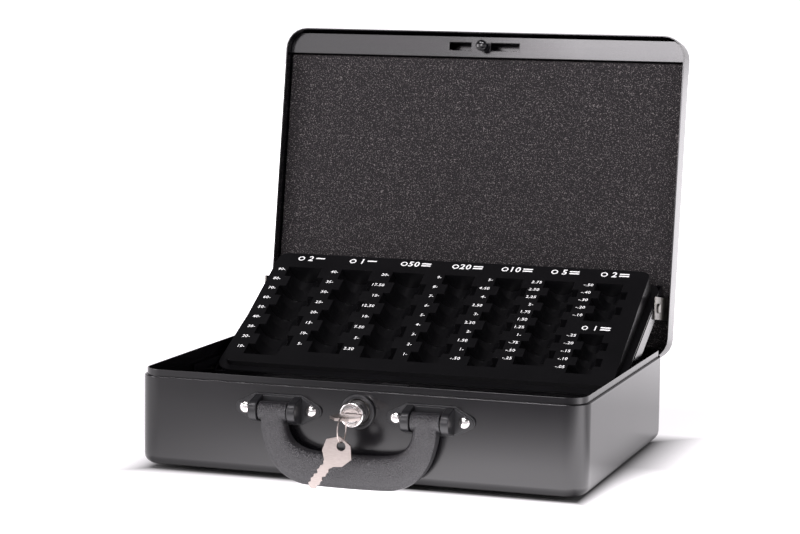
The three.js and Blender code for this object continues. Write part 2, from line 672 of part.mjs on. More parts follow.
// A headed pin through the carrier's side.
function sidePin(radius, headRadius, reach) {
  const inner = CARRIER_INNER - 2;
  const end = reach - inner;
  const profile = [[0, 0], [radius + 1.6, 0], [radius + 1.6, 2 - SEAT], [radius, 2 - SEAT]];
  profile.push([radius, end - 1.3], [headRadius, end - 1.3], [headRadius, end - 0.5]);
  profile.push([headRadius - 0.5, end], [0, end]);
  return turned(profile).rotateY(Math.PI / 2).translate(inner, 0, 0);
}

function makeTray() {
  place(tray, 'coin_tray', coinTray(), material.trayPlastic);
  place(tray, 'tray_carrier', carrier(), material.blackPaint);
  for (const [name, side] of sides) {
    const pivot = mirrored(sidePin(TRAY_PIN_RADIUS, PIN_HEAD_RADIUS, HEAD_OUTER), side);
    place(tray, `tray_pivot_pin_${name}`, pivot, material.zinc);
    const slide = sidePin(SLIDE_PIN_RADIUS, SLIDE_PIN_RADIUS, HEAD_OUTER).translate(0, SLIDE_PIN_Y * side, 0);
    place(tray, `tray_slide_pin_${name}`, mirrored(slide, side).translate(0, 0, SLIDE_PIN_Z), material.zinc);
  }
}

// ---- Guide plates ----
// The path of the slide pin as the lid opens, in the base's frame.
function slidePath(steps) {
  return Array.from({ length: steps + 1 }, (_, i) => {
    const open = LID_OPEN * i / steps;
    const [y, z] = tiedToLid(PIN_Y_SHUT, PIN_Z_SHUT, open);
    const angle = deg(trayAngle(open));
    return new THREE.Vector2(
      y + SLIDE_PIN_Y * Math.cos(angle) - SLIDE_PIN_Z * Math.sin(angle),
      z + SLIDE_PIN_Y * Math.sin(angle) + SLIDE_PIN_Z * Math.cos(angle),
    );
  });
}

function guidePlate() {
  const path = slidePath(12);
  const room = SLIDE_PIN_RADIUS + RUNNING;
  const margin = 6;
  const ys = path.map((point) => point.x);
  const zs = path.map((point) => point.y);
  const [y0, y1] = [Math.min(...ys) - room - margin, Math.max(...ys) + room + margin];
  const [z0, z1] = [Math.min(...zs) - room - margin, Math.max(...zs) + room + margin];
  const wall = WIDTH / 2 - SHEET - SEAT;
  const plate = slab(STRAP_INNER, STRAP_OUTER, y0, y1, z0, z1);
  const sole = slab(STRAP_INNER, wall, y0, y1, z0, z0 + STRAP);
  const shoe = slab(wall - STRAP, wall, y0, y1, z0 - 14, z0 + STRAP);
  const tools = path.map((point) => bar(room, 10, 'x', STRAP_INNER - 5, point.x, point.y, 16));
  for (let i = 0; i + 1 < path.length; i += 1) {
    const step = path[i + 1].clone().sub(path[i]);
    const link = slab(-5, 5, 0, step.length(), -room, room).rotateX(Math.atan2(step.y, step.x));
    tools.push(link.translate(STRAP_INNER, path[i].x, path[i].y));
  }
  return cut(join(plate, sole, shoe), ...tools);
}

function makeGuides() {
  place(base, 'guide_plate_right', guidePlate(), material.blackPaint);
  place(base, 'guide_plate_left', mirrorX(guidePlate()), material.blackPaint);
}

// ---- Handle ----
function handleBracket(x) {
  const half = PLATE_LENGTH / 2;
  const rise = PLATE_HEIGHT / 2;
  const tip = PLATE_TIP_RADIUS;
  const right = [[EAR_OUTER, -rise]];
  for (let i = 0; i <= 6; i += 1) {
    const angle = deg(-62 + 124 * i / 6);
    right.push([half - tip + tip * Math.cos(angle), tip * Math.sin(angle)]);
  }
  right.push([EAR_OUTER, rise]);
  const outline = [...right, ...right.map(([px, pz]) => [-px, -pz])];
  const holes = [-1, 1].map((end) => [end * RIVET_SPREAD, 0, RIVET_SHANK + 0.2]);
  const plate = flat(outline, PLATE, holes).rotateX(Math.PI / 2).translate(x, FRONT - SEAT, HANDLE_Z);
  const ears = [-EAR_OUTER, EAR_OUTER - EAR].map((start) => ear(x + start));
  const start = x - EAR_OUTER - 2;
  const bore = bar(HANDLE_PIN_RADIUS + 0.2, 2 * EAR_OUTER + 4, 'x', start, HANDLE_Y, HANDLE_Z, 20);
  return cut(join(plate, ...ears), bore);
}

function ear(x) {
  const outline = [];
  const rise = PLATE_HEIGHT / 2;
  const radius = BARREL_RADIUS + 0.4;
  const steps = 8;
  for (let i = 0; i <= steps; i += 1) {
    const angle = deg(-110 - 140 * i / steps);
    outline.push([HANDLE_Y + radius * Math.cos(angle), HANDLE_Z + radius * Math.sin(angle)]);
  }
  const wall = FRONT - SEAT - PLATE / 2;
  outline.push([wall, HANDLE_Z + rise], [wall, HANDLE_Z - rise]);
  return sidePlate(outline.reverse(), EAR, x);
}

function rivet(x) {
  const profile = [[0, 12], [RIVET_SHANK, 12], [RIVET_SHANK, 0.2], [RIVET_RADIUS, 0.2]];
  const steps = 4;
  for (let i = 1; i <= steps; i += 1) {
    const angle = deg(90 * i / steps);
    profile.push([RIVET_RADIUS * Math.cos(angle), 0.2 - 2.6 * Math.sin(angle)]);
  }
  profile[profile.length - 1][0] = 0;
  const geometry = turned(profile.reverse(), 14).rotateX(-Math.PI / 2);
  return geometry.translate(x, FRONT - SEAT - PLATE - 0.3, HANDLE_Z);
}

// The grip hangs from two barrels; its outer and inner edges are smooth curves.
function handle() {
  const outerTop = HANDLE_SPREAD + NECK_WIDTH / 2;
  const innerTop = HANDLE_SPREAD - NECK_WIDTH / 2;
  const drop = GRIP_DROP;
  const rise = GRIP_DROP - GRIP_WIDTH;
  const shape = new THREE.Shape();
  shape.moveTo(-outerTop, 0);
  shape.bezierCurveTo(-outerTop, -drop * 0.62, -outerTop * 0.8, -drop * 0.9, -outerTop * 0.5, -drop * 0.955);
  shape.bezierCurveTo(-outerTop * 0.3, -drop, outerTop * 0.3, -drop, outerTop * 0.5, -drop * 0.955);
  shape.bezierCurveTo(outerTop * 0.8, -drop * 0.9, outerTop, -drop * 0.62, outerTop, 0);
  shape.lineTo(innerTop, 0);
  shape.bezierCurveTo(innerTop, -rise * 0.75, innerTop * 0.8, -rise * 0.95, innerTop * 0.45, -rise * 0.98);
  shape.bezierCurveTo(innerTop * 0.2, -rise, -innerTop * 0.2, -rise, -innerTop * 0.45, -rise * 0.98);
  shape.bezierCurveTo(-innerTop * 0.8, -rise * 0.95, -innerTop, -rise * 0.75, -innerTop, 0);
  const round = 5;
  const body = new THREE.ExtrudeGeometry(shape, {
    depth: GRIP_THICKNESS - 2 * round, curveSegments: 6,
    bevelEnabled: true, bevelThickness: round, bevelSize: round, bevelOffset: -round, bevelSegments: 2,
  });
  body.rotateX(Math.PI / 2).translate(0, HANDLE_Y + GRIP_THICKNESS / 2 - round, HANDLE_Z);
  const barrels = [-1, 1].map((side) => (
    bar(BARREL_RADIUS, BARREL_LENGTH, 'x', side * HANDLE_SPREAD - BARREL_LENGTH / 2, HANDLE_Y, HANDLE_Z)
  ));
  const bores = [-1, 1].map((side) => {
    const start = side * HANDLE_SPREAD - BARREL_LENGTH / 2 - 2;
    return bar(HANDLE_PIN_RADIUS + RUNNING, BARREL_LENGTH + 4, 'x', start, HANDLE_Y, HANDLE_Z, 20);
  });
  return cut(join(body, ...barrels), ...bores);
}

function makeHandle() {
  for (const [name, side] of sides) {
    const x = side * HANDLE_SPREAD;
    place(base, `handle_bracket_${name}`, handleBracket(x), material.bracketPlastic);
    const length = 2 * EAR_OUTER - 1;
    const pin = bar(HANDLE_PIN_RADIUS, length, 'x', x - length / 2, HANDLE_Y, HANDLE_Z, 20);
    place(base, `handle_pin_${name}`, pin, material.zinc);
    for (const [where, end] of [['outer', side], ['inner', -side]]) {
      place(base, `handle_rivet_${name}_${where}`, rivet(x + end * RIVET_SPREAD), material.chrome);
    }
  }
  place(base, 'handle_grip', handle(), material.gripPlastic);
}

// ---- Lock ----
const at = (geometry, y = FRONT) => geometry.translate(LOCK_X, y, LOCK_Z);
const turnedOut = (profile, segments = 28) => turned(profile, segments).rotateX(Math.PI / 2);

function escutcheon() {
  const inner = LOCK_RADIUS + RUNNING + SEAT;
  const r = ESCUTCHEON_RADIUS;
  const top = ESCUTCHEON;
  const profile = [[inner, 0], [r, 0], [r, top - 1], [r - 1, top], [inner, top], [inner, 0]];
  return at(turnedOut(profile), FRONT - SEAT);
}

function housing() {
  const bore = LOCK_RADIUS + RUNNING;
  const r = HOUSING_RADIUS;
  const length = HOUSING_LENGTH;
  return at(turnedOut([[bore, 0], [r, 0], [r, length], [bore, length], [bore, 0]]), FRONT + length);
}

function lockNut() {
  const corner = (i) => [NUT_RADIUS * Math.cos(deg(60 * i)), NUT_RADIUS * Math.sin(deg(60 * i))];
  const hex = [0, 1, 2, 3, 4, 5].map(corner);
  const nut = flat(hex, 4, [[0, 0, HOUSING_RADIUS + SEAT]]).rotateX(Math.PI / 2);
  return at(nut, FRONT + SHEET + COLLAR_SHEET + 5.5);
}

// The cylinder slides in the housing, and its tail is turned down behind it.
function lockCylinder() {
  const r = LOCK_RADIUS;
  const back = HOUSING_LENGTH + 4;
  const front = LOCK_STANDOUT;
  const tail = [[0, -back], [r - 3, -back], [r - 3, -back + 3], [r, -back + 3]];
  const outer = turnedOut([...tail, [r, front - 1.2], [r - 1.2, front], [0, front]]);
  const bore = PLUG_RADIUS + SEAT;
  const core = turnedOut([[0, -12], [bore, -12], [bore, front + 5], [0, front + 5]]);
  return at(cut(outer, core));
}

function lockPlug() {
  const front = LOCK_STANDOUT;
  const body = turnedOut([[0, -11.6], [PLUG_RADIUS, -11.6], [PLUG_RADIUS, front - 0.6], [0, front - 0.6]]);
  const slotHalf = BLADE_WIDTH / 2 + 0.4;
  const keyway = slab(-slotHalf, slotHalf, -front - 5, 11, -KEY_SHEET / 2 - 0.35, KEY_SHEET / 2 + 0.35);
  return at(cut(body, keyway));
}

// The bolt slides sideways on its box and its forked end goes over the striker's head.
function lockBolt() {
  const front = BOLT_FRONT + BOX_SHEET + RUNNING;
  const back = BOLT_BACK - BOX_SHEET - RUNNING;
  const blade = slab(BOLT_X, BOLT_X + 24, front, back, BOLT_Z, BOLT_Z + BOLT_SHEET);
  const half = STRIKER_NECK + RUNNING;
  const fork = slab(BOLT_X - 1, BOLT_X + 6, RAIL_MIDDLE - half, RAIL_MIDDLE + half, BOLT_Z - 1, BOLT_Z + 3);
  const web = slab(BOLT_X + 18, BOLT_X + 20, front, back, BOX_Z + BOX_SHEET + SEAT, BOLT_Z + 0.5);
  return cut(join(blade, web), fork);
}

function boltBox() {
  const top = BOLT_Z + BOLT_SHEET + 1;
  const right = BOLT_X + 30;
  const outer = slab(BOX_X, right, BOLT_FRONT, BOLT_BACK, BOX_Z, top);
  const inner = slab(
    BOX_X - 1, right - BOX_SHEET, BOLT_FRONT + BOX_SHEET, BOLT_BACK - BOX_SHEET, BOX_Z + BOX_SHEET, top + 1,
  );
  return cut(outer, inner);
}

function makeLock() {
  place(base, 'lock_escutcheon', escutcheon(), material.bracketPlastic);
  place(base, 'lock_housing', housing(), material.zinc);
  place(base, 'lock_nut', lockNut(), material.zinc);
  place(base, 'lock_cylinder', lockCylinder(), material.chrome);
  place(base, 'lock_plug', lockPlug(), material.chrome);
  place(base, 'bolt_box', boltBox(), material.blackPaint);
  place(base, 'lock_bolt', lockBolt(), material.blackPaint);
}

// ---- Keys ----
// A key lies in X and Y with its hole at the origin, its bow around it and its blade towards +Y.
function keyShape() {
  const head = -KEY_HOLE_RADIUS - KEY_EDGE;
  const w = BOW_WIDTH / 2;
  const b = BLADE_WIDTH / 2;
  const shoulder = head + BOW_LENGTH;
  const tip = HOLE_TO_TIP;
  const outline = [[-w * 0.45, head], [w * 0.45, head], [w, head + 8], [w * 0.8, shoulder - 4]];
  outline.push([b + 1, shoulder], [b, shoulder + 1]);
  const bites = [1.2, 0.5, 1.6, 0.8, 1.3];
  const pitch = (tip - shoulder - 4) / bites.length;
  const teeth = bites.map((bite, i) => [b - bite, shoulder + 2 + i * pitch]);
  for (const [x, y] of teeth) outline.push([b, y], [x, y + pitch * 0.35], [x, y + pitch * 0.6]);
  outline.push([b - 0.4, tip - 2.4], [1, tip], [-1, tip], [-b + 0.4, tip - 2.4]);
  for (const [x, y] of teeth.reverse()) outline.push([-x, y + pitch * 0.6], [-x, y + pitch * 0.35], [-b, y]);
  outline.push([-b, shoulder + 1], [-b - 1, shoulder], [-w * 0.8, shoulder - 4], [-w, head + 8]);
  return flat(outline, KEY_SHEET, [[0, 0, KEY_HOLE_RADIUS]]).translate(0, 0, -KEY_SHEET / 2);
}

// The ring hangs round the end of the bow, just in front of its hole.
function keyRing() {
  const ring = new THREE.TorusGeometry(RING_RADIUS, RING_WIRE, 6, 28).rotateY(Math.PI / 2);
  return ring.translate(LOCK_X, RING_Y, RING_Z);
}

// The spare key hangs with the ring through its hole and leans to the left.
function spareKey() {
  const key = keyShape().rotateX(-Math.PI / 2).rotateY(deg(SPARE_TILT));
  const drop = KEY_HOLE_RADIUS - RING_WIRE - SEAT;
  return key.translate(LOCK_X, RING_Y, RING_Z - RING_RADIUS - drop);
}

function makeKeys() {
  place(base, 'key_in_lock', keyShape().translate(LOCK_X, KEY_HOLE_Y, LOCK_Z), material.nickel);
  place(base, 'key_ring', keyRing(), material.nickel);
  place(base, 'spare_key', spareKey(), material.nickel);
}

makeBase();
makeHinges();
makeLid();
makeTray();
makeGuides();
makeHandle();
makeLock();
makeKeys();

export default cashBox;
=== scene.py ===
import json
import math

import bmesh
import bpy
from mathutils import Matrix, Vector


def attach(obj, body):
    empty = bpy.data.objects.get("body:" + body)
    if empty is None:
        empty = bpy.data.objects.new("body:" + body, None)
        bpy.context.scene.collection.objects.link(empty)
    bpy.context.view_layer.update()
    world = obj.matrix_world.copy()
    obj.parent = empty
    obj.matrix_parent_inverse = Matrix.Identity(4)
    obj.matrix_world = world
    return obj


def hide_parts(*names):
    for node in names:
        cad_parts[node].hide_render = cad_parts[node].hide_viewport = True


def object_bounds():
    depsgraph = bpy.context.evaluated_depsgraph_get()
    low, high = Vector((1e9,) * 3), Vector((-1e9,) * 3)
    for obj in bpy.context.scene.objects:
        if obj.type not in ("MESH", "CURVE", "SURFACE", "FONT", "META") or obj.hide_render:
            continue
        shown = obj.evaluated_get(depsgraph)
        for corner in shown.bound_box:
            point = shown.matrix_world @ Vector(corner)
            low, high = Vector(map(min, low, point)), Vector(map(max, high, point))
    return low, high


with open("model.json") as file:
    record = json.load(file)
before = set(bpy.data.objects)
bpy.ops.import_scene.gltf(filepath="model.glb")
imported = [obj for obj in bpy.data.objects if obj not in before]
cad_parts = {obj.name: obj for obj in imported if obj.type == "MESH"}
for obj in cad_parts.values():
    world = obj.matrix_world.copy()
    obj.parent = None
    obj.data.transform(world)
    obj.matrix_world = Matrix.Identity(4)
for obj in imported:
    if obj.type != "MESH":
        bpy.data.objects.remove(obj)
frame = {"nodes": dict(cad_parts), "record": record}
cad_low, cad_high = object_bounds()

# A black steel cash box standing open. Metres, in the part's frame.
# MM turns a size in millimetres into metres.
MM = 0.001

# ---- Camera ----
AZIMUTH = 18.166
ELEVATION = 6.778
ROLL = 0.848
DISTANCE = 1.99147
TARGET = Vector((-0.010464, 0.0, 0.14923))
LENS = 110.89
FLOOR_Z = cad_low[2]


def make_camera():
    az, el, roll = (math.radians(a) for a in (AZIMUTH, ELEVATION, ROLL))
    back = Vector((math.sin(az) * math.cos(el), -math.cos(az) * math.cos(el), math.sin(el)))
    level = Vector((math.cos(az), math.sin(az), 0))
    rise = back.cross(level)
    right = level * math.cos(roll) + rise * math.sin(roll)
    up = rise * math.cos(roll) - level * math.sin(roll)
    data = bpy.data.cameras.new("camera")
    data.lens = LENS
    data.sensor_width = 36
    data.clip_end = 60
    camera = bpy.data.objects.new("camera", data)
    place = TARGET + back * DISTANCE
    camera.matrix_world = Matrix((
        (right.x, up.x, back.x, place.x),
        (right.y, up.y, back.y, place.y),
        (right.z, up.z, back.z, place.z),
        (0, 0, 0, 1),
    ))
    bpy.context.scene.collection.objects.link(camera)
    bpy.context.scene.camera = camera


make_camera()


# ---- Shader maths ----
class Field:
    """A socket that can be used in expressions."""

    def __init__(self, shader, socket):
        self.shader = shader
        self.socket = socket

    def maths(self, operation, first, second):
        return self.shader.maths(operation, first, second)

    def __add__(self, other):
        return self.maths("ADD", self, other)

    __radd__ = __add__

    def __sub__(self, other):
        return self.maths("SUBTRACT", self, other)

    def __mul__(self, other):
        return self.maths("MULTIPLY", self, other)

    __rmul__ = __mul__

    def __gt__(self, other):
        return self.maths("GREATER_THAN", self, other)


class Shader:
    """One material and its node tree."""

    def __init__(self, name, **constants):
        self.material = bpy.data.materials.new(name)
        self.material.use_nodes = True
        self.tree = self.material.node_tree
        self.tree.nodes.clear()
        self.place = self.node("ShaderNodeTexCoord", output="Object")
        self.surface = self.tree.nodes.new("ShaderNodeBsdfPrincipled")
        for socket, value in constants.items():
            self.surface.inputs[socket.replace("_", " ")].default_value = value
        out = self.tree.nodes.new("ShaderNodeOutputMaterial")
        self.tree.links.new(self.surface.outputs[0], out.inputs["Surface"])

    def node(self, kind, settings=None, sockets=None, output=0):
        made = self.tree.nodes.new(kind)
        for name, value in (settings or {}).items():
            if name == "stops":
                self.set_stops(made.color_ramp, value)
            else:
                setattr(made, name, value)
        for name, value in (sockets or {}).items():
            self.feed(made.inputs[name], value)
        return Field(self, made.outputs[output])

    def set_stops(self, ramp, stops):
        while len(ramp.elements) < len(stops):
            ramp.elements.new(1.0)
        for element, (position, color) in zip(ramp.elements, stops):
            element.position = position
            element.color = color

    def feed(self, socket, value):
        if isinstance(value, Field):
            self.tree.links.new(value.socket, socket)
        else:
            socket.default_value = value

    def noise(self, scale, detail=2.0, at=None, roughness=0.5):
        return self.node("ShaderNodeTexNoise", {}, {
            "Vector": at or self.place, "Scale": scale, "Detail": detail, "Roughness": roughness,
        }, "Fac")

    def cells(self, scale):
        return self.node("ShaderNodeTexVoronoi", {}, {"Vector": self.place, "Scale": scale}, "Distance")

    def stretched(self, x, y, z):
        return self.node("ShaderNodeMapping", {}, {"Vector": self.place, "Scale": (x, y, z)})

    def maths(self, operation, first, second):
        return self.node("ShaderNodeMath", {"operation": operation}, {0: first, 1: second})

    def graded(self, amount, levels):
        """A grey level read off along (position, level) pairs."""
        stops = [(position, (level, level, level, 1)) for position, level in levels]
        return self.node("ShaderNodeValToRGB", {"stops": stops}, {"Fac": amount}, "Color")

    def shades(self, amount, *colors):
        """A colour picked along a row of evenly spaced shades by an amount from 0 to 1."""
        last = len(colors) - 1
        stops = [(i / last, (*color, 1)) for i, color in enumerate(colors)]
        return self.node("ShaderNodeValToRGB", {"stops": stops}, {"Fac": amount}, "Color")

    def bump(self, height, strength, distance):
        made = self.node("ShaderNodeBump", {}, {"Strength": strength, "Distance": distance, "Height": height})
        self.feed(self.surface.inputs["Normal"], made)

    def color(self, value):
        self.feed(self.surface.inputs["Base Color"], value)

    def rough(self, value):
        self.feed(self.surface.inputs["Roughness"], value)


# ---- Materials ----
def stove_enamel():
    s = Shader("stove_enamel", IOR=1.6)
    cloud = s.noise(14, 3)
    s.color(s.shades(cloud, (0.0028, 0.0025, 0.0034), (0.005, 0.0045, 0.006)))
    s.rough(0.14 + 0.08 * cloud)
    s.bump(s.noise(900, 2), 0.04, 0.1 * MM)
    return s.material


def moulded_black():
    s = Shader("moulded_black", IOR=1.5)
    cloud = s.noise(30, 3)
    s.color(s.shades(cloud, (0.003, 0.003, 0.0036), (0.005, 0.0048, 0.0058)))
    s.rough(0.26 + 0.12 * cloud)
    s.bump(s.noise(2600, 2), 0.25, 0.12 * MM)
    return s.material


def satin_black():
    s = Shader("satin_black", IOR=1.5)
    cloud = s.noise(60, 3)
    s.color(s.shades(cloud, (0.008, 0.008, 0.0095), (0.015, 0.015, 0.017)))
    s.rough(0.28 + 0.14 * cloud)
    s.bump(s.noise(1800, 2), 0.12, 0.1 * MM)
    return s.material


def leather_grain():
    s = Shader("leather_grain", IOR=1.55)
    grain = s.cells(1000)
    fine = s.noise(1700, 3)
    s.color(s.shades(grain, (0.024, 0.023, 0.026), (0.008, 0.0075, 0.0095)))
    s.rough(0.14 + 0.12 * fine)
    s.bump(grain * 0.6 + fine, 0.8, 0.6 * MM)
    return s.material


def open_foam():
    s = Shader("open_foam", IOR=1.4)
    pores = s.noise(780, 3, roughness=0.7)
    fleck = s.noise(1150, 1) > 0.63
    s.color(s.node("ShaderNodeMix", {"data_type": "RGBA"}, {
        "Factor": fleck,
        6: s.shades(pores, (0.004, 0.0034, 0.004), (0.014, 0.012, 0.0132), (0.05, 0.044, 0.047)),
        7: (0.17, 0.155, 0.155, 1),
    }, 2))
    s.rough(0.75 + 0.2 * pores)
    s.bump(pores, 0.9, 0.9 * MM)
    return s.material


def black_rubber():
    s = Shader("black_rubber", IOR=1.5)
    cloud = s.noise(90, 3)
    s.color(s.shades(cloud, (0.014, 0.014, 0.014), (0.024, 0.024, 0.024)))
    s.rough(0.7 + 0.2 * cloud)
    s.bump(s.noise(1600, 2), 0.4, 0.15 * MM)
    return s.material


def bright_chrome():
    s = Shader("bright_chrome", Metallic=1.0)
    cloud = s.noise(120, 3)
    s.color(s.shades(cloud, (0.72, 0.69, 0.68), (0.9, 0.87, 0.86)))
    s.rough(0.08 + 0.12 * cloud)
    s.bump(s.noise(700, 2), 0.05, 0.1 * MM)
    return s.material


def key_nickel():
    s = Shader("key_nickel", Metallic=1.0)
    brushed = s.noise(260, 3, at=s.stretched(1, 1, 9))
    s.color(s.shades(brushed, (0.28, 0.24, 0.225), (0.46, 0.41, 0.385)))
    s.rough(0.24 + 0.2 * brushed)
    s.bump(brushed, 0.12, 0.15 * MM)
    return s.material


def bright_zinc():
    s = Shader("bright_zinc", Metallic=1.0)
    grain = s.noise(220, 4, at=s.stretched(1, 1, 4))
    s.color(s.shades(grain, (0.17, 0.16, 0.15), (0.32, 0.31, 0.29)))
    s.rough(0.28 + 0.22 * grain)
    s.bump(grain, 0.15, 0.15 * MM)
    return s.material


def print_with_painted_glow():
    # white print, made to glow: its emission is a painted glow that brightens it
    s = Shader("print_with_painted_glow", IOR=1.45, Emission_Strength=0.4)
    cloud = s.noise(400, 2)
    s.color(s.shades(cloud, (0.86, 0.86, 0.86), (0.94, 0.94, 0.94)))
    s.rough(0.4 + 0.2 * cloud)
    s.feed(s.surface.inputs["Emission Color"], s.shades(cloud, (0.9, 0.9, 0.9), (1, 1, 1)))
    return s.material


ENAMEL = stove_enamel()
MOULDED = moulded_black()
SATIN = satin_black()
GRAIN = leather_grain()
FOAM = open_foam()
RUBBER = black_rubber()
CHROME = bright_chrome()
NICKEL = key_nickel()
ZINC = bright_zinc()
PRINT = print_with_painted_glow()
FINISHES = {
    "black_paint": ENAMEL, "tray_plastic": MOULDED, "bracket_plastic": SATIN, "grip_plastic": GRAIN,
    "foam": FOAM, "rubber": RUBBER, "chrome": CHROME, "nickel": NICKEL, "zinc": ZINC,
}
SLOT_OF = {row["node"]: row["material_slot"] for row in frame["record"]["subparts"]}
BODY_OF = {node: body for body, nodes in frame["record"]["behaviour"]["bodies"].items() for node in nodes}


# ---- Making pieces ----
def piece_from(bm, name, body, material, sharp=32):
    """A finished piece from a bmesh, smooth apart from the edges sharper than an angle."""
    mesh = bpy.data.meshes.new(name)
    for face in bm.faces:
        face.smooth = True
    bm.to_mesh(mesh)
    bm.free()
    if "custom_normal" in mesh.attributes:
        mesh.attributes.remove(mesh.attributes["custom_normal"])
    mesh.set_sharp_from_angle(angle=math.radians(sharp))
    mesh.materials.clear()
    mesh.materials.append(material)
    piece = bpy.data.objects.new(name, mesh)
    bpy.context.scene.collection.objects.link(piece)
    even = piece.modifiers.new("even_normals", "WEIGHTED_NORMAL")
    even.keep_sharp = True
    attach(piece, body)
    return piece


def merged_copy(node):
    bm = bmesh.new()
    bm.from_mesh(frame["nodes"][node].data)
    bmesh.ops.remove_doubles(bm, verts=bm.verts, dist=0.002 * MM)
    flat = math.radians(0.4)
    bmesh.ops.dissolve_limit(bm, angle_limit=flat, verts=bm.verts, edges=bm.edges)
    return bm


def ease_edges(bm, width, sharp=32, segments=2):
    """Rounds every edge sharper than an angle by a small width."""
    limit = math.radians(sharp)
    hard = [e for e in bm.edges if e.is_manifold and e.calc_face_angle(0) > limit]
    bmesh.ops.bevel(
        bm, geom=hard, offset=width, offset_type="OFFSET", segments=segments, profile=0.5,
        affect="EDGES", clamp_overlap=True, material=-1,
    )


def refined(node, width):
    """The node's own shape with its facets smoothed and its edges eased."""
    bm = merged_copy(node)
    ease_edges(bm, width)
    slot = SLOT_OF[node]
    piece = piece_from(bm, f"{node}_finish", BODY_OF[node], FINISHES[slot])
    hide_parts(node)


# ---- Stage ----
def painted_floor_glow(s):
    """Painted light on the floor: a glow, though the floor is no lamp, with a painted pool of light close in
    front, dim further ahead, bright again behind.
    """
    x = s.node("ShaderNodeSeparateXYZ", {}, {0: s.place}, 0)
    y = s.node("ShaderNodeSeparateXYZ", {}, {0: s.place}, 1)
    along = [(0, 0), (0.165, 0), (0.192, 0.3), (0.25, 0.3), (0.285, 0.32)]
    along += [(0.33, 0.3), (0.43, 0.3), (0.66, 0.7)]
    depth = s.graded((y + 1.0) * (1 / 3), along)
    # a painted pool of light just in front of the box, brighter towards the right
    painted_pool = s.graded((y + 1.0) * (1 / 3), [(0.2, 0), (0.25, 0.7), (0.29, 0.75), (0.34, 0)])
    painted_pool = painted_pool * s.graded((x + 0.3) * 2.0, [(0.1, 0.0), (0.45, 0.65), (0.75, 1)])
    # painted glow that grows towards the left
    left = s.graded((x + 0.6) * 2.0, [(0, 0.3), (0.5, 0.22), (0.85, 0)])
    # painted shade: the glow is taken away under the box and close round it
    beside = s.maths("MAXIMUM", s.maths("ABSOLUTE", x, 0) - 0.172, s.maths("ABSOLUTE", y, 0) - 0.128)
    clear = s.graded(beside * 25.0, [(0, 0), (0.3, 0.35), (1, 1)])
    return (s.maths("MAXIMUM", depth, left) + painted_pool) * clear


def make_stage():
    bm = bmesh.new()
    bmesh.ops.create_grid(bm, x_segments=1, y_segments=1, size=8)
    bmesh.ops.translate(bm, verts=bm.verts, vec=(0, 0, FLOOR_Z))
    mesh = bpy.data.meshes.new("floor")
    bm.to_mesh(mesh)
    bm.free()
    s = Shader("floor_with_painted_light", Specular_IOR_Level=0.1, Emission_Strength=PAINTED_GLOW)
    cloud = s.noise(3, 2)
    ahead = s.node("ShaderNodeSeparateXYZ", {}, {0: s.place}, 1)
    # painted shade: the floor colour is darker ahead of the box, with a random mottle on top
    tone_with_painted_shade = s.graded((ahead + 1.0) * (1 / 3), [(0.14, 0.2), (0.18, 0.9)]) + 0.1 * cloud
    s.color(s.shades(tone_with_painted_shade, (0.03, 0.03, 0.03), (0.28, 0.28, 0.28)))
    s.rough(0.8 + 0.1 * cloud)
    # the floor's painted glow drives its emission
    s.feed(s.surface.inputs["Emission Color"], s.shades(painted_floor_glow(s), (0, 0, 0), (1, 0.965, 1.0)))
    mesh.materials.append(s.material)
    floor = bpy.data.objects.new("floor", mesh)
    bpy.context.scene.collection.objects.link(floor)


def soft_light(name, place, aim, width, height, brightness):
    data = bpy.data.lights.new(name, "AREA")
    data.shape = "RECTANGLE"
    data.size = width
    data.size_y = height
    data.energy = brightness * math.pi * width * height
    data.color = (1.0, 0.96, 1.0)
    light = bpy.data.objects.new(name, data)
    light.location = place
    light.rotation_euler = (Vector(aim) - Vector(place)).to_track_quat("-Z", "Y").to_euler()
    light.visible_camera = False
    bpy.context.scene.collection.objects.link(light)


def make_world():
    """Bright all round the horizon and dark overhead."""
    world = bpy.data.worlds.new("studio")
    world.use_nodes = True
    tree = world.node_tree
    background = tree.nodes["Background"]
    background.inputs["Strength"].default_value = 1.25
    direction = tree.nodes.new("ShaderNodeTexCoord")
    parts = tree.nodes.new("ShaderNodeSeparateXYZ")
    ramp = tree.nodes.new("ShaderNodeValToRGB")
    tree.links.new(direction.outputs["Generated"], parts.inputs[0])
    tree.links.new(parts.outputs["Z"], ramp.inputs["Fac"])
    while len(ramp.color_ramp.elements) < 4:
        ramp.color_ramp.elements.new(1.0)
    for element, (position, level) in zip(ramp.color_ramp.elements, WORLD_LEVELS):
        element.position = position
        element.color = (level, level * 0.965, level, 1)
    tree.links.new(ramp.outputs["Color"], background.inputs["Color"])
    bpy.context.scene.world = world


# strength of the painted glow on the floor
PAINTED_GLOW = 3.2
WORLD_LEVELS = [(0.0, 1.0), (0.12, 0.8), (0.42, 0.16), (0.75, 0.05)]
make_stage()
make_world()
soft_light("front_softbox", (-0.28, -2.3, 1.1), (0, 0, 0.2), 0.8, 0.5, 12)
soft_light("side_front_softbox", (-1.05, -2.1, 1.05), (0, 0, 0.2), 0.6, 0.5, 2)
soft_light("strip_softbox", (-0.3, -0.95, 1.55), (0, 0, 0.1), 1.6, 0.07, 40)
soft_light("left_softbox", (-1.6, -1.0, 0.55), (0, 0, 0.1), 0.7, 0.9, 6)
soft_light("right_softbox", (1.9, -0.4, 0.8), (0, 0, 0.1), 0.8, 0.8, 1.6)
bpy.context.scene.view_settings.view_transform = "Standard"


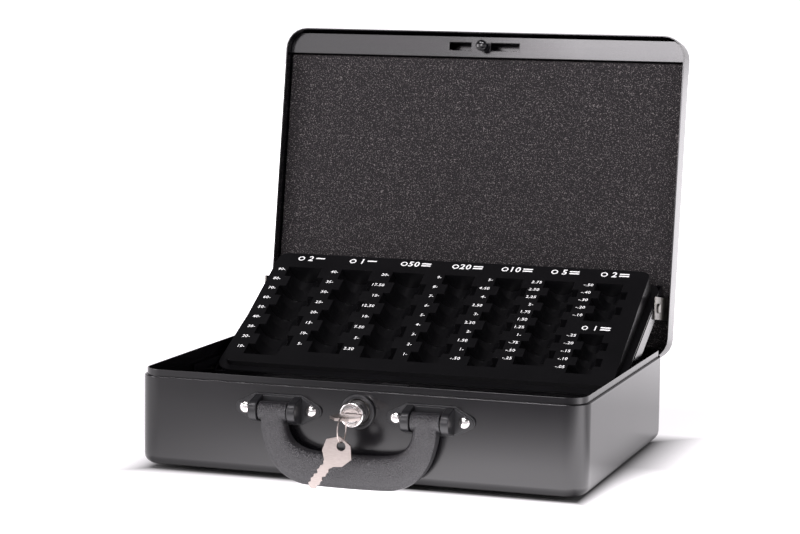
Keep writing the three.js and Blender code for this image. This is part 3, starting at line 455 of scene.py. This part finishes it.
# ---- Turned pieces ----
def turned_piece(profile, name, node, centre, steps=72):
    """A piece spun from (radius, distance ahead) pairs in millimetres, facing forwards at a point."""
    bm = bmesh.new()
    lines = [bm.verts.new((radius * MM, 0, ahead * MM)) for radius, ahead in profile]
    for first, second in zip(lines, lines[1:]):
        bm.edges.new((first, second))
    bmesh.ops.spin(
        bm, geom=bm.verts[:] + bm.edges[:], cent=(0, 0, 0), axis=(0, 0, 1), angle=math.tau,
        steps=steps, use_merge=True, use_duplicate=False,
    )
    bmesh.ops.remove_doubles(bm, verts=bm.verts, dist=0.002 * MM)
    bmesh.ops.recalc_face_normals(bm, faces=bm.faces)
    facing = Matrix.Rotation(math.radians(90), 3, "X")
    bmesh.ops.rotate(bm, verts=bm.verts, cent=(0, 0, 0), matrix=facing)
    bmesh.ops.translate(bm, verts=bm.verts, vec=centre)
    slot = SLOT_OF[node]
    piece = piece_from(bm, name, BODY_OF[node], FINISHES[slot], 40)
    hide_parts(node)


def rounded_rim(radius, inner, top, width, steps=5):
    """Profile points that round an outer edge from the side to the face."""
    points = []
    for i in range(steps + 1):
        angle = math.radians(90 * i / steps)
        points.append((radius - width + width * math.cos(angle), top - width + width * math.sin(angle)))
    return points + [(inner, top)]


HALF_WIDTH = 180
HALF_DEPTH = 137.5
CORNER = 18.5
SHOULDER_Z = 70.5
CASE_FRONT = -HALF_DEPTH
LOCK = Vector((3.2, CASE_FRONT, 54.4)) * MM
BRACKET_X = 61
PIVOT_Z = 52.2
PIVOT_AHEAD = 10.6
RIVET_SPREAD = 26.8
DOME_RADIUS = 4.6
DOME_RISE = 2.6


def make_rivets():
    for side, sx in (("left", -1), ("right", 1)):
        for where, end in (("outer", 1), ("inner", -1)):
            profile = [(2.2, -11.5), (2.2, DOME_RISE), (DOME_RADIUS, DOME_RISE)]
            for i in range(1, 9):
                angle = math.radians(90 * i / 8)
                profile.append((DOME_RADIUS * math.cos(angle), DOME_RISE * (1 + math.sin(angle))))
            profile = [(radius, ahead + 0.4) for radius, ahead in profile]
            centre = Vector((sx * (BRACKET_X + end * RIVET_SPREAD), CASE_FRONT, PIVOT_Z)) * MM
            node = f"handle_rivet_{side}_{where}"
            turned_piece(profile, f"{node}_dome", node, centre, steps=48)


def make_lock_face():
    """The round pieces of the lock that show in front of the case."""
    collar = [(10.2, 0.3), (13.5, 0.3)] + rounded_rim(13.5, 11.4, 2.8, 0.9)
    collar += [(10.9, 2.3), (10.2, 2.3), (10.2, 0.3)]
    turned_piece(collar, "escutcheon_ring", "lock_escutcheon", LOCK)
    barrel = [(6.5, -27.9), (9.5, -25), (9.5, 3), (9.3, 3.2), (9.5, 3.4)]
    barrel += [(9.5, 13.4), (9.25, 13.7), (9.5, 14.0)] + rounded_rim(9.5, 7.6, 17, 1.1)
    barrel += [(7.2, 16.5), (6.5, 16.5), (6.5, -12), (6.4, -27.9), (6.5, -27.9)]
    turned_piece(barrel, "cylinder_sleeve", "lock_cylinder", LOCK)


# ---- Handle grip ----
def bezier(a, b, c, d, count):
    points = []
    for i in range(count):
        t = i / count
        k = 1 - t
        points.append(tuple(
            k ** 3 * p + 3 * k * k * t * q + 3 * k * t * t * r + t ** 3 * w for p, q, r, w in zip(a, b, c, d)
        ))
    return points


def grip_edge(top, drop, shoulder, low, legs):
    """One edge of the grip, from the left pivot round to the right one, as (x, distance below the pivot)."""
    count = 22
    half = [(-top, 0), (-top, -drop * legs), (-top * 0.8, -drop * shoulder), (-top * low, -drop * 0.98)]
    left = bezier(*half, count)
    last = (top * low, -drop * 0.98)
    middle = bezier(half[3], (-top * low * 0.5, -drop), (top * low * 0.5, -drop), last, count)
    right = [(-x, z) for x, z in reversed(left)]
    return left + middle + [last] + right


def make_grip():
    """A crowned bar with a bead along its outer edge, hung from two barrels."""
    pivot = Vector((0, CASE_FRONT - PIVOT_AHEAD, PIVOT_Z))
    outer = grip_edge(70.5, 55.4, 0.91, 0.5, 0.62)
    inner = grip_edge(51.5, 29.4, 0.95, 0.45, 0.75)
    bm = bmesh.new()
    loops = []
    around = 44
    for (ox, oz), (ix, iz) in zip(outer, inner):
        middle = Vector(((ox + ix) / 2, 0, (oz + iz) / 2))
        across = Vector((ox - ix, 0, oz - iz)) * 0.5
        collar = 1 + 0.05 * math.exp(-((middle.z + 11.5) / 1.6) ** 2)
        ring = bmesh.ops.create_circle(bm, segments=around, radius=1)["verts"]
        for i, vert in enumerate(ring):
            angle = math.tau * i / around
            c, q = math.cos(angle), math.sin(angle)
            wide = math.copysign(abs(c) ** 0.62, c)
            deep = math.copysign(abs(q) ** 0.62, q)
            bead = 0.5 * math.exp(-((math.atan2(-q, c) - 0.62) / 0.13) ** 2)
            groove = 0.35 * math.exp(-((math.atan2(-q, c) - 0.9) / 0.1) ** 2)
            reach = 1 + (bead - groove) / 7.5
            vert.co = (pivot + middle + (across * wide + Vector((0, 7.5 * deep, 0))) * reach * collar) * MM
        loops.append(list({edge for vert in ring for edge in vert.link_edges}))
    for first, second in zip(loops, loops[1:]):
        bmesh.ops.bridge_loops(bm, edges=first + second)
    for loop in (loops[0], loops[-1]):
        bmesh.ops.edgeloop_fill(bm, edges=loop)
    for side in (-1, 1):
        turn = Matrix.Rotation(math.radians(90), 4, "Y")
        place = Matrix.Translation((pivot + Vector((BRACKET_X * side, 0, 0))) * MM)
        made = bmesh.ops.create_cone(
            bm, cap_ends=True, segments=56, radius1=7.3 * MM, radius2=7.3 * MM, depth=23.4 * MM,
            matrix=place @ turn,
        )
        rim = {edge for vert in made["verts"] for edge in vert.link_edges}
        rim = [edge for edge in rim if edge.is_manifold and edge.calc_face_angle(0) > 1]
        bmesh.ops.bevel(
            bm, geom=rim, offset=0.8 * MM, offset_type="OFFSET", segments=3, profile=0.5, affect="EDGES",
            material=-1,
        )
    bmesh.ops.recalc_face_normals(bm, faces=bm.faces)
    piece = piece_from(bm, "grip_moulding", "handle", GRAIN, 50)
    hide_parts("handle_grip")


# ---- Handle brackets ----
def plate_outline(half, rise, tip, block):
    """Right half of a bracket plate seen from the front, from bottom to top."""
    points = [(block, -rise)]
    for i in range(13):
        angle = math.radians(-62 + 124 * i / 12)
        points.append((half - tip + tip * math.cos(angle), tip * math.sin(angle)))
    return points + [(block, rise)]


def add_plate(bm, centre, grow, low, high, edge):
    """A flat plate standing on the case, its thickness going forwards from low to high."""
    right = plate_outline(35 + grow, 11.5 + grow, 5.2 + grow, 19)
    outline = right + [(-x, -z) for x, z in right]
    verts = [bm.verts.new(centre + Vector((x, -low, z)) * MM) for x, z in outline]
    face = bm.faces.new(verts)
    made = bmesh.ops.extrude_face_region(bm, geom=[face])["geom"]
    top = [v for v in made if isinstance(v, bmesh.types.BMVert)]
    bmesh.ops.translate(bm, verts=top, vec=(0, (low - high) * MM, 0))
    front = {e for v in top for e in v.link_edges if all(w in top for w in e.verts)}
    bmesh.ops.bevel(
        bm, geom=list(front), offset=edge * MM, offset_type="OFFSET", segments=4, profile=0.5, affect="EDGES",
        clamp_overlap=True, material=-1,
    )


def add_ear(bm, centre, x):
    """A bulky rounded lug, 6.6 mm thick, whose nose goes round the pin."""
    nose = 8.4
    outline = []
    for i in range(17):
        angle = math.radians(-95 - 170 * i / 16)
        outline.append((-PIVOT_AHEAD + nose * math.cos(angle), nose * math.sin(angle)))
    outline += [(-2.0, 10.6), (-1.0, 10.6), (-1.0, -10.6), (-2.0, -10.6)]
    verts = [bm.verts.new(centre + Vector((x, y, z)) * MM) for y, z in outline]
    face = bm.faces.new(verts)
    made = bmesh.ops.extrude_face_region(bm, geom=[face])["geom"]
    far = [v for v in made if isinstance(v, bmesh.types.BMVert)]
    bmesh.ops.translate(bm, verts=far, vec=(6.6 * MM, 0, 0))
    both = [set(verts), set(far)]
    rim = [e for e in bm.edges if any(all(w in ends for w in e.verts) for ends in both)]
    bmesh.ops.bevel(
        bm, geom=rim, offset=2.0 * MM, offset_type="OFFSET", segments=5, profile=0.5, affect="EDGES",
        clamp_overlap=True, material=-1,
    )


def make_brackets():
    for side, sx in (("left", -1), ("right", 1)):
        centre = Vector((BRACKET_X * sx, CASE_FRONT, PIVOT_Z)) * MM
        bm = bmesh.new()
        add_plate(bm, centre, 0, 0.3, 1.9, 0.5)
        add_plate(bm, centre, -1.3, 1.7, 2.7, 0.5)
        for x in (-19.0, 12.4):
            add_ear(bm, centre, x)
        bmesh.ops.recalc_face_normals(bm, faces=bm.faces)
        node = f"handle_bracket_{side}"
        piece = piece_from(bm, f"bracket_moulding_{side}", "case", SATIN, 40)
        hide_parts(node)


# ---- Base shell ----
def on_outside(co):
    """Whether a point of the shoulder stands on its outer edge rather than its inner one."""
    x = abs(co.x) / MM
    y = abs(co.y) / MM
    if max(x - HALF_WIDTH, y - HALF_DEPTH) <= -6:
        return False
    from_corner = math.hypot(x - HALF_WIDTH + CORNER, y - HALF_DEPTH + CORNER)
    return x > HALF_WIDTH - 0.6 or y > HALF_DEPTH - 0.6 or from_corner > CORNER - 0.5


def make_base_shell():
    """The sheet steel shell, with a rolled outer edge at its shoulder."""
    bm = merged_copy("base_shell")
    rolled = []
    for edge in bm.edges:
        if not edge.is_manifold or edge.calc_face_angle(0) < 0.5:
            continue
        ends = [v.co for v in edge.verts]
        if all(abs(co.z - SHOULDER_Z * MM) < 0.1 * MM and on_outside(co) for co in ends):
            rolled.append(edge)
    bmesh.ops.bevel(
        bm, geom=rolled, offset=0.9 * MM, offset_type="OFFSET", segments=4, profile=0.5, affect="EDGES",
        clamp_overlap=True, material=-1,
    )
    ease_edges(bm, 0.25 * MM, 35)
    piece = piece_from(bm, "base_pressing", "case", ENAMEL, 40)
    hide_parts("base_shell")


# ---- Foam pad ----
def make_foam():
    bm = merged_copy("foam_pad")
    ease_edges(bm, 1.6 * MM, 40, 4)
    piece = piece_from(bm, "foam_block", "lid", FOAM, 50)
    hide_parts("foam_pad")


# ---- Figures on the tray ----
TRAY_PIN = Vector((0, 129.504, 109.752)) * MM
TRAY_TILT = math.radians(29.9)
TRAY_FACE = 21.4
TRAY_BACK = 21.7
TOP_MARGIN = 19.6
TRAY_WIDTH = 332
LEFT_MARGIN = 14.3
RIGHT_MARGIN = 13.35
LOW_COLUMN_GAP = 17.1
COLUMN_ROOM = 10.3  # column width over the coin's diameter
COINS_PER_STEP = 5
COIN_LEAN = math.radians(36.5)
PRINT_Z = TRAY_FACE + 0.05
PRINT_SHEAR = 0.06
# Each column: coin diameter, coin thickness, steps and the coin's worth in cents.
COINS = [
    (25.75, 2.2, 9, 200), (23.25, 2.33, 8, 100), (24.25, 2.38, 8, 50), (22.25, 2.14, 9, 20),
    (19.75, 1.93, 10, 10), (21.25, 1.67, 11, 5), (18.75, 1.67, 5, 2), (16.25, 1.67, 5, 1),
]


def tray_columns():
    """Left edge, width, step pitch and distance of the first step from the top row, for each column."""
    sizes = []
    for diameter, thick, _, _ in COINS:
        sizes.append((diameter + COLUMN_ROOM, COINS_PER_STEP * thick / math.cos(COIN_LEAN)))
    taken = LEFT_MARGIN + RIGHT_MARGIN + sum(width for width, _ in sizes[:-1])
    gap = (TRAY_WIDTH - taken) / (len(sizes) - 2)
    left = LEFT_MARGIN - TRAY_WIDTH / 2
    rows = []
    for width, pitch in sizes[:-1]:
        rows.append((left, width, pitch, 0))
        left += width + gap
    above = rows[-1]
    width, pitch = sizes[-1]
    below = COINS[-2][2] * above[2] + LOW_COLUMN_GAP
    rows.append((above[0] + (above[1] - width) / 2, width, pitch, below))
    return rows


def amount_words(cents):
    whole, rest = divmod(cents, 100)
    if rest == 0:
        return f"{whole}-"
    return f"{whole}.{rest:02d}" if whole else f"-.{rest:02d}"


def add_words(bm, words, x, y, size, align):
    curve = bpy.data.curves.new("figures", "FONT")
    curve.body = words
    curve.size = size * MM
    curve.shear = PRINT_SHEAR
    curve.offset = 0.014 * size * MM
    curve.space_character = 1.12
    curve.extrude = 0.03 * MM
    curve.resolution_u = 3
    curve.align_x = align
    curve.align_y = "CENTER"
    holder = bpy.data.objects.new("figures", curve)
    mesh = bpy.data.meshes.new_from_object(holder)
    mesh.transform(Matrix.Translation((x * MM, y * MM, PRINT_Z * MM)))
    bm.from_mesh(mesh)
    bpy.data.objects.remove(holder)
    bpy.data.meshes.remove(mesh)
    bpy.data.curves.remove(curve)


def add_bar(bm, x, y, length, height):
    lean = Matrix.Identity(4)
    lean[0][1] = PRINT_SHEAR
    place = Matrix.Translation((x * MM, y * MM, PRINT_Z * MM))
    size = Matrix.Diagonal((length * MM, height * MM, 0.06 * MM, 1))
    bmesh.ops.create_cube(bm, size=1, matrix=place @ lean @ size)


def add_coin_mark(bm, x, y, radius):
    """A small open ring that stands for a coin."""
    before = set(bm.verts)
    section = ((radius, -0.03), (radius, 0.03), (radius * 0.64, 0.03))
    line = [bm.verts.new((r * MM, 0, h * MM)) for r, h in section]
    edges = [bm.edges.new(pair) for pair in zip(line, line[1:])]
    bmesh.ops.spin(
        bm, geom=line + edges, cent=(0, 0, 0), axis=(0, 0, 1), angle=math.tau, steps=28, use_merge=True,
        use_duplicate=False,
    )
    fresh = [vert for vert in bm.verts if vert not in before]
    bmesh.ops.translate(bm, verts=fresh, vec=(x * MM, y * MM, PRINT_Z * MM))


def make_figures():
    bm = bmesh.new()
    for (left, width, pitch, start), (_, _, steps, worth) in zip(tray_columns(), COINS):
        top = TRAY_BACK - TOP_MARGIN - start
        middle = left + width / 2 - 2
        head = top + (12.6 if start == 0 else 7.6)
        size = 9.6 if start == 0 else 8.2
        whole = worth >= 100
        add_coin_mark(bm, middle - 8.6, head, size * 0.31)
        number = worth // 100 if whole else worth
        add_words(bm, f"{number}", middle, head, size, "CENTER")
        first = middle + (4.2 if number < 10 else 7.0)
        for row in ((1.3,) if whole else (1.6, -1.2)):
            add_bar(bm, first + 4.4, head + row, 8.4, 1.5)
        for i in range(steps):
            words = amount_words(worth * COINS_PER_STEP * (steps - i))
            add_words(bm, words, left - 2.2, top - (i + 0.3) * pitch, 4.7, "RIGHT")
    onto_tray = Matrix.Translation(TRAY_PIN) @ Matrix.Rotation(TRAY_TILT, 4, "X")
    bmesh.ops.transform(bm, verts=bm.verts, matrix=onto_tray)
    piece_from(bm, "tray_figures", "tray", PRINT, 40)


# ---- Pieces ----
EASED = {"rim_collar": 0.4, "lid_shell": 0.45, "coin_tray": 0.45, "tray_carrier": 0.4, "lock_rail": 0.4}
MADE_HERE = ["handle_grip", "foam_pad", "lock_escutcheon", "lock_cylinder", "base_shell"]
MADE_HERE += ["handle_bracket_left", "handle_bracket_right"]
MADE_HERE += [node for node in frame["nodes"] if node.startswith("handle_rivet")]
for node in frame["nodes"]:
    if node in MADE_HERE:
        continue
    refined(node, EASED.get(node, 0.2) * MM)
make_base_shell()
make_brackets()
make_rivets()
make_lock_face()
make_grip()
make_foam()
make_figures()
